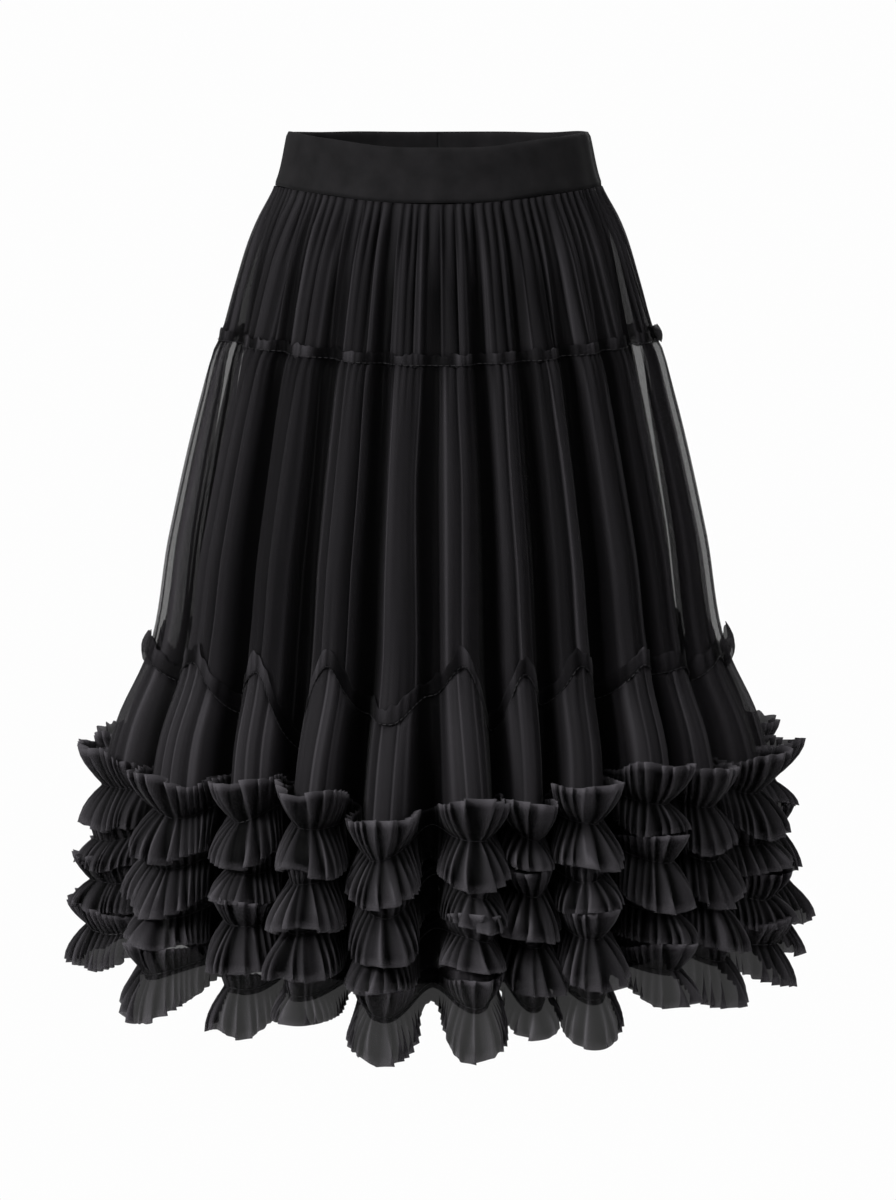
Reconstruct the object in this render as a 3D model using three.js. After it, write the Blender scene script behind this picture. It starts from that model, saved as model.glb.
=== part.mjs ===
// A black tulle midi skirt, filled out as if worn with nobody in it. Millimetres, +Z up, front towards -Y.
// The origin is the middle of the waist, half way up the waistband, where a wearer holds the skirt.
// From the waist down: a shaped waistband, a gathered yoke tier, a long gathered tier whose lower seam
// rises and dips from fold to fold, and a ruffle tier with rows of double ruffles, each gathered along
// a line and free at both edges. A plain A-line lining hangs inside and shows through the net.

import * as THREE from "three";

// Cloth: one wall stands for a net layer, thicker ones for the doubled band
const NET = 1.2;
const BAND_CLOTH = 2.6;
const SEAM_GAP = 0.3;
const STEEP_SEAM_GAP = 0.8;
const SHARPEST_MITRE = 0.4;

// The waistband
const BAND_HEIGHT = 47;
const BAND_TOP = BAND_HEIGHT / 2;
const BAND_BOTTOM = -BAND_HEIGHT / 2;
const BAND_SLICES = 48;

// The front of the band and the yoke hangs lower than the sides and back, evening out further down
const FRONT_DIP = 14;
const FRONT_DIP_POWER = 2.5;
const FRONT_DIP_ENDS = -330;

// Heights of the seams, of the level where the folds hang in full, and of the lining
const YOKE_SEAM = -154;
const YOKE_PUFF = -52;
const UPPER_FOLDS = -230;
const MIDDLE_FOLDS = -330;
const LOWER_SEAM_FRONT = -415;
const LOWER_SEAM_SIDE_DROP = 17;
const FOLDS_IN_FULL = -550;
const LINING_TOP = BAND_BOTTOM + 8;
const LINING_HEM = -690;

// In a valley the cloth hangs a little higher than on the crests beside it
const VALLEY_LIFT = 14;

// The silhouette. width and depth are half sizes over the crests of the folds, and fold is how far a
// valley of full tuck lies behind them
const BODY = [
  { z: BAND_TOP, width: 133, depth: 98, fold: 0 },
  { z: BAND_BOTTOM, width: 145, depth: 108, fold: 0.5 },
  { z: YOKE_PUFF, width: 161, depth: 124, fold: 4 },
  { z: -107, width: 180, depth: 147, fold: 9 },
  { z: YOKE_SEAM, width: 193, depth: 164, fold: 15 },
  { z: UPPER_FOLDS, width: 217, depth: 190, fold: 24 },
  { z: MIDDLE_FOLDS, width: 241, depth: 215, fold: 32 },
  { z: -440, width: 263, depth: 238, fold: 40 },
  { z: -492, width: 288, depth: 262, fold: 52 },
  { z: FOLDS_IN_FULL, width: 304, depth: 277, fold: 56 },
  { z: -637, width: 316, depth: 288, fold: 62 },
  { z: -740, width: 324, depth: 296, fold: 68 },
];

// The lining, a long A-line slip that clears the valleys of the net
const LINING = [
  { z: 24, width: 129.9, depth: 94.9 },
  { z: BAND_BOTTOM, width: 141.9, depth: 104.9 },
  { z: YOKE_SEAM, width: 169, depth: 139 },
  { z: -300, width: 197, depth: 171 },
  { z: -440, width: 216, depth: 190 },
  { z: -615, width: 242, depth: 216 },
  { z: LINING_HEM, width: 244, depth: 218 },
];

// The folds, one row each, all the way round. at is the crest's place in degrees from the middle of
// the front, towards +X. reach is how far the crest stands out, 1 being the silhouette. tuck is how
// deep the valley after it lies in the long tier, 1 being the full fold. sag is how far the lower seam
// hangs below its highest level at the crest, and dip how far in the valley after it. drift is how many
// degrees the fold moves round below that seam. lines are how far below the origin its four ruffles are
// sewn on.
const FOLDS = [
  { at: -82, reach: 1.0, tuck: 0.8, sag: 0, dip: 25, drift: 0, lines: [555, 600, 637, 680] },
  { at: -54, reach: 1.0, tuck: 0.9, sag: 0, dip: 45, drift: 0, lines: [554, 596, 638, 688] },
  { at: -38, reach: 0.8, tuck: 1.0, sag: 6, dip: 74, drift: 0, lines: [548, 596, 640, 694] },
  { at: -21, reach: 1.0, tuck: 1.0, sag: 0, dip: 44, drift: -3, lines: [549, 594, 636, 686] },
  { at: -8, reach: 0.97, tuck: 0.35, sag: 46, dip: 26, drift: -2, lines: [574, 616, 657, 702] },
  { at: 5, reach: 1.0, tuck: 1.0, sag: 0, dip: 58, drift: 2, lines: [553, 600, 640, 690] },
  { at: 17, reach: 0.74, tuck: 0.9, sag: 8, dip: 36, drift: 1, lines: [562, 606, 648, 694] },
  { at: 28, reach: 1.0, tuck: 0.95, sag: 0, dip: 32, drift: 0, lines: [546, 592, 640, 690] },
  { at: 43, reach: 1.0, tuck: 0.7, sag: 0, dip: 12, drift: 0, lines: [538, 584, 628, 676] },
  { at: 55, reach: 0.92, tuck: 0.85, sag: 4, dip: 24, drift: 0, lines: [549, 592, 632, 678] },
  { at: 71, reach: 1.0, tuck: 0.85, sag: 0, dip: 28, drift: 0, lines: [548, 590, 638, 684] },
  { at: 90, reach: 0.97, tuck: 0.9, sag: 0, dip: 34, drift: 0, lines: [558, 600, 644, 684] },
  { at: 105, reach: 1.0, tuck: 0.85, sag: 4, dip: 24, drift: 0, lines: [548, 592, 636, 684] },
  { at: 119, reach: 0.88, tuck: 1.0, sag: 0, dip: 52, drift: 0, lines: [556, 602, 644, 692] },
  { at: 133, reach: 1.0, tuck: 0.9, sag: 0, dip: 30, drift: 0, lines: [546, 590, 632, 682] },
  { at: 147, reach: 0.8, tuck: 0.85, sag: 6, dip: 44, drift: 1, lines: [560, 604, 648, 696] },
  { at: 160, reach: 1.0, tuck: 1.0, sag: 0, dip: 60, drift: -2, lines: [550, 594, 640, 690] },
  { at: 174, reach: 0.96, tuck: 0.35, sag: 40, dip: 26, drift: -1, lines: [570, 612, 654, 700] },
  { at: 187, reach: 1.0, tuck: 0.95, sag: 0, dip: 50, drift: 2, lines: [550, 596, 638, 686] },
  { at: 201, reach: 0.78, tuck: 0.9, sag: 8, dip: 36, drift: 1, lines: [560, 604, 648, 694] },
  { at: 215, reach: 1.0, tuck: 1.0, sag: 0, dip: 40, drift: 0, lines: [544, 590, 636, 686] },
  { at: 230, reach: 0.93, tuck: 0.8, sag: 0, dip: 22, drift: 0, lines: [552, 594, 634, 680] },
  { at: 245, reach: 1.0, tuck: 0.9, sag: 4, dip: 46, drift: 0, lines: [547, 590, 634, 684] },
  { at: 260, reach: 0.9, tuck: 0.8, sag: 0, dip: 26, drift: 0, lines: [556, 600, 642, 688] },
];
const FIRST_BACK_FOLD = 11;

// Below the lower seam every valley is at least this deep, and the folds hang straight down, so they
// turn towards the middle of the front and back by up to this many degrees
const RUFFLE_TUCK = 0.8;
const HANG_TURN = 4;

// Where a fold is cut across, as shares of the way from its crest at 0 to its valleys at -1 and 1
const FOLD_CUTS = [-1, -0.7, -0.28, 0.28, 0.7];
const YOKE_CUTS = [-1, -0.75, -0.5, -0.25, 0, 0.25, 0.5, 0.75];
const CREST_BREADTH = 1.5;

// Small gathers of the yoke, two to a fold: how deep they are at each height
const GATHERS_PER_FOLD = 2;
const GATHER_DEPTH = { top: 1.4, puff: 5, seam: 2.5 };

// The double ruffles, a row for each stitched line: how high and how far out each free edge stands
const RUFFLES = [
  { up: 38, upOut: 22, down: 33, downOut: 21 },
  { up: 15, upOut: 8, down: 34, downOut: 21 },
  { up: 15, upOut: 8, down: 36, downOut: 20 },
  { up: 15, upOut: 8, down: 38, downOut: 16 },
];
const VALLEY_SHARE_UP = 0.12;
const VALLEY_SHARE_DOWN = 0.45;
const SIDEWAYS_SPREAD = 0.45;
const HEM_ALLOWANCE = 5;

const RADIANS = Math.PI / 180;
const mix = (from, to, share) => from + (to - from) * share;
const easeIn = (share) => (1 - Math.cos(Math.PI * share)) / 2;

// The row of a table of sections at a height, straight between the rows beside it
function sectionAt(table, z) {
  const below = Math.max(1, table.findIndex((row, i) => i > 0 && row.z <= z));
  const low = z < table.at(-1).z ? table.at(-1) : table[below];
  const high = z < table.at(-1).z ? table.at(-1) : table[below - 1];
  const share = high === low ? 0 : (high.z - z) / (high.z - low.z);
  return {
    width: mix(high.width, low.width, share),
    depth: mix(high.depth, low.depth, share),
    fold: mix(high.fold ?? 0, low.fold ?? 0, share),
  };
}

// How far the cloth of a level hangs lower at an angle than at the back
function frontDrop(level, angle) {
  const share = THREE.MathUtils.clamp((level - FRONT_DIP_ENDS) / (YOKE_SEAM - FRONT_DIP_ENDS), 0, 1);
  return FRONT_DIP * share * Math.max(0, Math.cos(angle)) ** FRONT_DIP_POWER;
}

// The places round the skirt where its folds are cut across. valley is 0 on a crest and 1 in a valley.
// inset is the share of the fold's depth that the cloth lies behind the silhouette there, and lowInset
// that below the lower seam. drop is how far that seam hangs down, and lines where ruffles are sewn on.
function foldSlices(cuts) {
  const slices = [];
  FOLDS.forEach((fold, k) => {
    const before = FOLDS.at(k - 1);
    const after = FOLDS[(k + 1) % FOLDS.length];
    const gapBefore = (fold.at - before.at + 360) % 360;
    const gapAfter = (after.at - fold.at + 360) % 360;
    for (const cut of cuts) {
      const gap = cut < 0 ? gapBefore : gapAfter;
      const side = cut < 0 ? before : fold;
      const depth = easeIn(Math.abs(cut) ** CREST_BREADTH);
      const next = cut < 0 ? before : after;
      const between = (fact) => mix(fact(fold), fact(next), easeIn(Math.abs(cut) / 2));
      slices.push({
        angle: (fold.at + (cut * gap) / 2) * RADIANS,
        valley: depth,
        inset: mix(1 - fold.reach, side.tuck, depth),
        lowInset: mix(1 - fold.reach, Math.max(side.tuck, RUFFLE_TUCK), depth),
        drop: mix(fold.sag, side.dip, easeIn(Math.abs(cut))),
        gather: Math.cos(Math.PI * GATHERS_PER_FOLD * cut),
        drift: between((row) => row.drift),
        lines: fold.lines.map((_, row) => between((one) => -one.lines[row]) + VALLEY_LIFT * depth),
      });
    }
  });
  return slices;
}

// Even places round a plain ring, with the side seams among them
function plainSlices(count) {
  return Array.from({ length: count }, (_, i) => ({
    angle: (-90 + (360 * i) / count) * RADIANS,
    inset: 0,
    lowInset: 0,
    drift: 0,
  }));
}

// How far a level is on its way from the lower seam to where the folds hang in full
const belowSeam = (level) =>
  THREE.MathUtils.clamp((LOWER_SEAM_FRONT - level) / (LOWER_SEAM_FRONT - FOLDS_IN_FULL), 0, 1);

// The level outward normal of the stretch from one point of a ring to the next
const sideNormal = (from, to) => new THREE.Vector3(to.y - from.y, from.x - to.x, 0).normalize();

// A ring of points at a level that may differ from slice to slice. out points outwards from each, and is
// longer than 1 at a corner, as a mitre is, so that a wall moved along it keeps its thickness.
function ring(table, slices, levelOf, extraInset = () => 0) {
  const points = slices.map((slice) => {
    const level = levelOf(slice);
    const { width, depth, fold } = sectionAt(table, level);
    const hung = fold === 0 ? 0 : belowSeam(level);
    const turn = slice.drift - HANG_TURN * Math.sin(2 * slice.angle);
    const angle = slice.angle + turn * RADIANS * hung;
    const out = new THREE.Vector2(Math.sin(angle) / width, -Math.cos(angle) / depth).normalize();
    const inset = fold * mix(slice.inset, slice.lowInset, hung) + extraInset(slice);
    return new THREE.Vector3(
      width * Math.sin(angle) - inset * out.x,
      -depth * Math.cos(angle) - inset * out.y,
      level - frontDrop(level, angle),
    );
  });
  return points.map((point, i) => {
    const before = sideNormal(points.at(i - 1), point);
    const after = sideNormal(point, points[(i + 1) % points.length]);
    const out = before.clone().add(after).normalize();
    return { point, out: out.divideScalar(Math.max(SHARPEST_MITRE, out.dot(before))) };
  });
}

// The same ring moved along its outward directions, inwards if the distance is negative
function moved(ringPoints, distance) {
  return ringPoints.map(({ point, out }) => ({ point: point.clone().addScaledVector(out, distance), out }));
}

// The same ring moved straight down, which keeps the two sides of a steep seam apart all the way
function lowered(ringPoints, distance) {
  return ringPoints.map(({ point, out }) => ({ point: new THREE.Vector3(0, 0, -distance).add(point), out }));
}

// The stretch of a ring from one slice to another, cut back at both ends to leave the seam's gap
function stretch(ringPoints, first, last) {
  const count = ringPoints.length;
  const piece = [];
  for (let i = first; i <= last; i++) piece.push(ringPoints[(i + count) % count]);
  const cutBack = (end, next) => {
    const share = SEAM_GAP / 2 / next.point.clone().sub(end.point).projectOnPlane(end.out).length();
    return { point: end.point.clone().lerp(next.point, share), out: end.out };
  };
  piece[0] = cutBack(piece[0], piece[1]);
  piece[piece.length - 1] = cutBack(piece.at(-1), piece.at(-2));
  return piece;
}

// A cloth wall from rings of outer points, top to bottom: outside, inside, both rims and both ends.
// Both sides of the wall are split along the same diagonals, the shorter ones, so they never cross.
function clothWall(rings, thickness) {
  const across = rings[0].length;
  const positions = [];
  for (const row of rings)
    for (const { point, out } of row)
      positions.push(...point.toArray(), ...point.clone().addScaledVector(out, -thickness).toArray());
  const outer = (row, i) => 2 * (row * across + i);
  const inner = (row, i) => outer(row, i) + 1;
  const faces = [];
  const quad = (a, b, c, d) => faces.push(a, b, c, a, c, d);
  const bottom = rings.length - 1;
  const end = across - 1;
  for (let row = 0; row < bottom; row++) {
    for (let i = 0; i < end; i++) {
      const [topLeft, topRight] = [rings[row][i].point, rings[row][i + 1].point];
      const [lowLeft, lowRight] = [rings[row + 1][i].point, rings[row + 1][i + 1].point];
      if (lowLeft.distanceTo(topRight) < topLeft.distanceTo(lowRight)) {
        quad(outer(row + 1, i), outer(row + 1, i + 1), outer(row, i + 1), outer(row, i));
        quad(inner(row, i + 1), inner(row + 1, i + 1), inner(row + 1, i), inner(row, i));
      } else {
        quad(outer(row, i), outer(row + 1, i), outer(row + 1, i + 1), outer(row, i + 1));
        quad(inner(row, i), inner(row, i + 1), inner(row + 1, i + 1), inner(row + 1, i));
      }
    }
    quad(inner(row, 0), inner(row + 1, 0), outer(row + 1, 0), outer(row, 0));
    quad(outer(row, end), outer(row + 1, end), inner(row + 1, end), inner(row, end));
  }
  for (let i = 0; i < end; i++) {
    quad(outer(0, i), outer(0, i + 1), inner(0, i + 1), inner(0, i));
    quad(outer(bottom, i), inner(bottom, i), inner(bottom, i + 1), outer(bottom, i + 1));
  }
  const geometry = new THREE.BufferGeometry();
  geometry.setAttribute("position", new THREE.Float32BufferAttribute(positions, 3));
  geometry.setIndex(faces);
  geometry.computeVertexNormals();
  return geometry;
}

const black = (roughness, color) => new THREE.MeshStandardMaterial({ color, roughness, metalness: 0 });
const netBlack = black(0.85, 0x1c1b1d);
const bandBlack = black(0.7, 0x232325);
const liningBlack = black(0.6, 0x0a0a0b);

const skirt = new THREE.Group();

function addPiece(name, rings, thickness, material) {
  const mesh = new THREE.Mesh(clothWall(rings, thickness), material);
  mesh.name = name;
  skirt.add(mesh);
}

// The front and back panels of a piece whose rings go all the way round
function addPanels(name, rings, thickness, material, slicesPerFold) {
  const total = rings[0].length;
  const split = FIRST_BACK_FOLD * slicesPerFold;
  addPiece(`${name}_front`, rings.map((r) => stretch(r, 0, split)), thickness, material);
  addPiece(`${name}_back`, rings.map((r) => stretch(r, split, total)), thickness, material);
}

// Waistband: a shaped band of doubled cloth, with side seams and a seam at the middle of the back
function buildWaistband() {
  const slices = plainSlices(BAND_SLICES);
  const rings = [BAND_TOP, 0, BAND_BOTTOM].map((level) => ring(BODY, slices, () => level));
  const half = BAND_SLICES / 2;
  const parts = { front: [0, half], back_right: [half, 1.5 * half], back_left: [1.5 * half, 2 * half] };
  for (const [side, [first, last]] of Object.entries(parts))
    addPiece(`waistband_${side}`, rings.map((r) => stretch(r, first, last)), BAND_CLOTH, bandBlack);
}

// Lining: a smooth A-line slip sewn inside the band and hidden by the ruffles at its hem
function buildLining() {
  const slices = plainSlices(BAND_SLICES);
  const levels = [LINING_TOP, ...LINING.slice(1).map((row) => row.z)];
  const rings = levels.map((level) => ring(LINING, slices, () => level));
  const half = BAND_SLICES / 2;
  addPiece("lining_front", rings.map((r) => stretch(r, 0, half)), NET, liningBlack);
  addPiece("lining_back", rings.map((r) => stretch(r, half, 2 * half)), NET, liningBlack);
}

// Yoke tier: gathered into the band, the small gathers running out into the folds below
function buildYoke() {
  const slices = foldSlices(YOKE_CUTS);
  const gathered = (depth) => (slice) => (depth * (1 - slice.gather)) / 2;
  const rings = [
    ring(BODY, slices, () => BAND_BOTTOM - SEAM_GAP, gathered(GATHER_DEPTH.top)),
    ring(BODY, slices, () => YOKE_PUFF, gathered(GATHER_DEPTH.puff)),
    ring(BODY, slices, () => YOKE_SEAM + SEAM_GAP / 2, gathered(GATHER_DEPTH.seam)),
  ];
  addPanels("yoke_tier", rings, NET, netBlack, YOKE_CUTS.length);
}

// The level of the lower seam, with its rises on the crests and dips in the valleys
const lowerSeam = (slice) =>
  LOWER_SEAM_FRONT - LOWER_SEAM_SIDE_DROP * Math.sin(slice.angle) ** 2 - slice.drop;

// Long tier: deep folds from the yoke's seam to the lower seam
function buildLongTier() {
  const slices = foldSlices(FOLD_CUTS);
  const rings = [
    ring(BODY, slices, () => YOKE_SEAM - SEAM_GAP / 2),
    ring(BODY, slices, () => UPPER_FOLDS),
    ring(BODY, slices, () => MIDDLE_FOLDS),
    ring(BODY, slices, lowerSeam),
  ];
  addPanels("long_tier", rings, NET, netBlack, FOLD_CUTS.length);
}

// The points of the ruffle tier along the line where a row is sewn on, or that far above it
const sewnLine = (slices, row, above = 0) => ring(BODY, slices, (slice) => slice.lines[row] + above);

// Ruffle tier: the folded wall under the lower seam, which carries the rows of double ruffles
function buildRuffleTier() {
  const slices = foldSlices(FOLD_CUTS);
  const last = RUFFLES.length - 1;
  const rings = [
    lowered(ring(BODY, slices, lowerSeam), STEEP_SEAM_GAP),
    sewnLine(slices, 0, RUFFLES[0].up),
    ...RUFFLES.slice(0, last).map((_, row) => sewnLine(slices, row)),
    sewnLine(slices, last, -HEM_ALLOWANCE),
  ];
  addPanels("ruffle_tier", rings, NET, netBlack, FOLD_CUTS.length);
  RUFFLES.forEach((_, row) => buildRuffle(row, slices));
}

// One double ruffle: its stitched line lies on the tier's wall, and its two free edges stand out from it
function buildRuffle(row, slices) {
  const { up, upOut, down, downOut } = RUFFLES[row];
  const onWall = (above) => moved(sewnLine(slices, row, above), SEAM_GAP + NET);
  const freeEdge = (rise, outwards, valleyShare) =>
    onWall(rise).map(({ point, out }, i) => {
      const { angle, valley } = slices[i];
      const radial = new THREE.Vector3(Math.sin(angle), -Math.cos(angle), 0);
      const lean = radial.lerp(out.clone().normalize(), SIDEWAYS_SPREAD * (1 - valley)).normalize();
      return { point: point.clone().addScaledVector(lean, outwards * mix(1, valleyShare, valley)), out };
    });
  const upper = freeEdge(up, upOut, VALLEY_SHARE_UP);
  const lower = freeEdge(-down, downOut, VALLEY_SHARE_DOWN);
  addPanels(`ruffle_${row + 1}`, [upper, onWall(0), lower], NET, netBlack, FOLD_CUTS.length);
}

buildWaistband();
buildLining();
buildYoke();
buildLongTier();
buildRuffleTier();

export default skirt;
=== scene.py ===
import math

import bmesh
import bpy
import numpy as np
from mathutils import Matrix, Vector


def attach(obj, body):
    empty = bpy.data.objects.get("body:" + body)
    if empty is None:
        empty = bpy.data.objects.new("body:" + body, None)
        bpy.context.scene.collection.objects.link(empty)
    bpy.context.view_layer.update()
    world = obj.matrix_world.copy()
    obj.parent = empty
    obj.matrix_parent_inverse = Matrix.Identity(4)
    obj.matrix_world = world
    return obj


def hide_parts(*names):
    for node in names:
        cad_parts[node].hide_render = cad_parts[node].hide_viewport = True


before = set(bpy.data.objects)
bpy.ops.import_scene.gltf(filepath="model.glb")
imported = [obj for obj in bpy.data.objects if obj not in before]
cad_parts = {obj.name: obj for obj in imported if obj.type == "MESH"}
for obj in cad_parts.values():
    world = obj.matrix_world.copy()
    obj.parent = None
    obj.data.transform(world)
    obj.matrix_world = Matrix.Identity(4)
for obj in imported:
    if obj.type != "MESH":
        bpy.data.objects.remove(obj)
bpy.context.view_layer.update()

# The studio: a pale floor well below the hem, a white room, and soft lamps at both sides, above and
# behind. The camera stands three metres in front, as high as the waist, and looks down eight degrees.
CAMERA_PLACE = (0.0088, -3.0, 0.024)
CAMERA_LOOKS_DOWN = math.radians(7.907)
CAMERA_LENS = 101.3
CAMERA_SENSOR_WIDTH = 36
FLOOR_LEVEL = -1.35
FLOOR_SIZE = 2.4
LAMPS = [
    {"name": "key_lamp", "place": (-2.5, -2.0, 1.3), "size": 1.1, "power": 165},
    {"name": "fill_lamp", "place": (2.1, -2.2, 1.0), "size": 1.3, "power": 24},
    {"name": "top_lamp", "place": (0.0, -1.4, 2.4), "size": 1.5, "power": 40},
    {"name": "back_lamp", "place": (0.6, 2.6, 1.2), "size": 1.8, "power": 25},
]
LAMPS_AIM = (0, 0, -0.35)
BACKDROP_WHITE = 0.985
ROOM_LIGHT = 0.28

camera_data = bpy.data.cameras.new("photo_camera")
camera_data.lens = CAMERA_LENS
camera_data.sensor_width = CAMERA_SENSOR_WIDTH
camera = bpy.data.objects.new("photo_camera", camera_data)
camera.location = CAMERA_PLACE
camera.rotation_euler = (math.pi / 2 - CAMERA_LOOKS_DOWN, 0, 0)
bpy.context.collection.objects.link(camera)
bpy.context.scene.camera = camera

room = bpy.data.worlds.new("white_room")
room.use_nodes = True
backdrop = room.node_tree.nodes["Background"]
backdrop.inputs["Color"].default_value = (1, 1, 1, 1)
backdrop.inputs["Strength"].default_value = BACKDROP_WHITE
soft_light = room.node_tree.nodes.new("ShaderNodeBackground")
soft_light.inputs["Color"].default_value = (1, 1, 1, 1)
soft_light.inputs["Strength"].default_value = ROOM_LIGHT
seen_straight = room.node_tree.nodes.new("ShaderNodeLightPath")
either = room.node_tree.nodes.new("ShaderNodeMixShader")
room.node_tree.links.new(seen_straight.outputs["Is Camera Ray"], either.inputs["Fac"])
room.node_tree.links.new(soft_light.outputs["Background"], either.inputs[1])
room.node_tree.links.new(backdrop.outputs["Background"], either.inputs[2])
room.node_tree.links.new(either.outputs["Shader"], room.node_tree.nodes["World Output"].inputs["Surface"])
bpy.context.scene.world = room
bpy.context.scene.view_settings.view_transform = "Standard"

for lamp in LAMPS:
    light = bpy.data.lights.new(lamp["name"], "AREA")
    light.size = lamp["size"]
    light.energy = lamp["power"]
    holder = bpy.data.objects.new(lamp["name"], light)
    holder.location = lamp["place"]
    holder.rotation_euler = (Vector(LAMPS_AIM) - holder.location).to_track_quat("-Z", "Y").to_euler()
    bpy.context.collection.objects.link(holder)

floor_mesh = bpy.data.meshes.new("studio_floor")
reach = FLOOR_SIZE / 2
floor_mesh.from_pydata(
    [(-reach, -reach, FLOOR_LEVEL), (reach, -reach, FLOOR_LEVEL),
     (reach, reach, FLOOR_LEVEL), (-reach, reach, FLOOR_LEVEL)], [], [(0, 1, 2, 3)])
floor = bpy.data.objects.new("studio_floor", floor_mesh)
bpy.context.collection.objects.link(floor)
floor_paint = bpy.data.materials.new("floor_paint")
floor_paint.use_nodes = True
floor_shader = floor_paint.node_tree.nodes["Principled BSDF"]
floor_shader.inputs["Base Color"].default_value = (0.93, 0.93, 0.93, 1)
floor_shader.inputs["Roughness"].default_value = 0.9
floor_mesh.materials.append(floor_paint)

# Waistband: a shaped band of doubled matte crepe, 47 mm high, cut as a front and two back halves that
# are sewn together at the sides and at the middle of the back. Its front dips below its sides.
CREPE_THICKNESS = 0.0026
BAND_TOP = 0.0235
BAND_BOTTOM = -0.0235
BAND_EDGE_ROUNDING = 0.0012
BAND_SEAM_GROOVE = 0.0008
SILHOUETTE = [
    {"z": 0.0235, "width": 0.133, "depth": 0.098, "fold": 0.0},
    {"z": -0.0235, "width": 0.145, "depth": 0.108, "fold": 0.0005},
    {"z": -0.052, "width": 0.161, "depth": 0.124, "fold": 0.004},
    {"z": -0.107, "width": 0.180, "depth": 0.147, "fold": 0.009},
    {"z": -0.154, "width": 0.193, "depth": 0.164, "fold": 0.015},
    {"z": -0.230, "width": 0.217, "depth": 0.190, "fold": 0.024},
    {"z": -0.330, "width": 0.241, "depth": 0.215, "fold": 0.032},
    {"z": -0.440, "width": 0.263, "depth": 0.238, "fold": 0.040},
    {"z": -0.492, "width": 0.288, "depth": 0.262, "fold": 0.052},
    {"z": -0.550, "width": 0.304, "depth": 0.277, "fold": 0.056},
    {"z": -0.637, "width": 0.316, "depth": 0.288, "fold": 0.062},
    {"z": -0.740, "width": 0.324, "depth": 0.296, "fold": 0.068},
]
FRONT_DIP = 0.014
FRONT_DIP_POWER = 2.5
FRONT_DIP_FULL = -0.154
FRONT_DIP_ENDS = -0.330
BAND_LEVELS = 13
BAND_SEAM_BREADTH = 0.9
BAND_EDGE_REACH = 0.003
BAND_RIPPLE = 0.0006
BAND_FINE_RIPPLE = 0.0004
BAND_EDGE_WAVE = 0.0005
CREPE_DARK = (0.0026, 0.0024, 0.0028)
CREPE_LIGHT = (0.0062, 0.0057, 0.0064)
# Five waves of nearly the same length add up to one that hardly repeats
WAVE_SHARES = (0.62, 0.81, 1.0, 1.23, 1.49)
WEAKEST_WAVE = 0.6
WAVES_TOGETHER = 2.4


def mix(start, end, share):
    return start + (end - start) * share


def section_at(table, level):
    """Half width, half depth and fold depth at a level, on a smooth curve through the table's rows."""
    rows = sorted(table, key=lambda row: row["z"])
    heights = np.array([row["z"] for row in rows])
    sizes = np.array([[row["width"], row["depth"], row.get("fold", 0.0)] for row in rows])
    slopes = np.gradient(sizes, heights, axis=0)
    level = np.asarray(level, float)
    low = np.clip(np.searchsorted(heights, level) - 1, 0, len(rows) - 2)
    step = (heights[low + 1] - heights[low])[..., None]
    share = np.clip((level[..., None] - heights[low][..., None]) / step, 0, 1)
    rise = 3 * share**2 - 2 * share**3
    curve = (1 - rise) * sizes[low] + rise * sizes[low + 1]
    curve = curve + step * (share**3 - 2 * share**2 + share) * slopes[low]
    curve = curve + step * (share**3 - share**2) * slopes[low + 1]
    return curve[..., 0], curve[..., 1], curve[..., 2]


def front_drop(level, angle):
    """How far the cloth of a level hangs lower at an angle than at the back."""
    share = np.clip((level - FRONT_DIP_ENDS) / (FRONT_DIP_FULL - FRONT_DIP_ENDS), 0, 1)
    return FRONT_DIP * share * np.maximum(0, np.cos(angle)) ** FRONT_DIP_POWER


def uneven(degrees, waves, seed):
    """A smooth uneven wave round the skirt, with about that many crests a turn, from about -1 to 1."""
    dice = np.random.default_rng(seed)
    total = 0.0
    for share in WAVE_SHARES:
        turns = max(1, round(waves * share))
        strength = dice.uniform(WEAKEST_WAVE, 1.0)
        start = dice.uniform(0, 2 * np.pi)
        total = total + strength * np.cos(np.radians(degrees) * turns + start)
    return total / WAVES_TOGETHER


def grid_mesh(name, points, cloth_places, **surface_facts):
    """A mesh from rows of points, top row first, with the flat cloth's own places as its UV map and
    the other facts of its surface, numbers from 0 to 1, as attributes."""
    rows, columns = points.shape[:2]
    index = np.arange(rows * columns).reshape(rows, columns)
    quads = np.stack([index[:-1, :-1], index[1:, :-1], index[1:, 1:], index[:-1, 1:]], -1).reshape(-1, 4)
    mesh = bpy.data.meshes.new(name)
    mesh.from_pydata(points.reshape(-1, 3).tolist(), [], quads.tolist())
    layer = mesh.uv_layers.new(name="cloth")
    layer.data.foreach_set("uv", cloth_places.reshape(-1, 2)[quads.ravel()].ravel())
    for word, shares in surface_facts.items():
        attribute = mesh.attributes.new(word, "FLOAT", "POINT")
        attribute.data.foreach_set("value", np.array(np.broadcast_to(shares, (rows, columns)), float).ravel())
    mesh.shade_smooth()
    return mesh


def cloth_lengths(points):
    """Each point's place on the flat cloth: metres along its row, and metres down from the top row."""
    along = np.linalg.norm(np.diff(points, axis=1), axis=2).mean(axis=0)
    down = np.linalg.norm(np.diff(points, axis=0), axis=2).mean(axis=1)
    u = np.concatenate([[0], np.cumsum(along)])
    v = -np.concatenate([[0], np.cumsum(down)])
    return np.stack(np.meshgrid(u, v), -1)


def cloth_shader(name, roughness, specular):
    """A new material with its nodes, its links and its shader, and the finish it has all over."""
    material = bpy.data.materials.new(name)
    material.use_nodes = True
    tree = material.node_tree
    shader = tree.nodes["Principled BSDF"]
    shader.inputs["Roughness"].default_value = roughness
    shader.inputs["Specular IOR Level"].default_value = specular
    return material, tree.nodes, tree.links, shader


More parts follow.
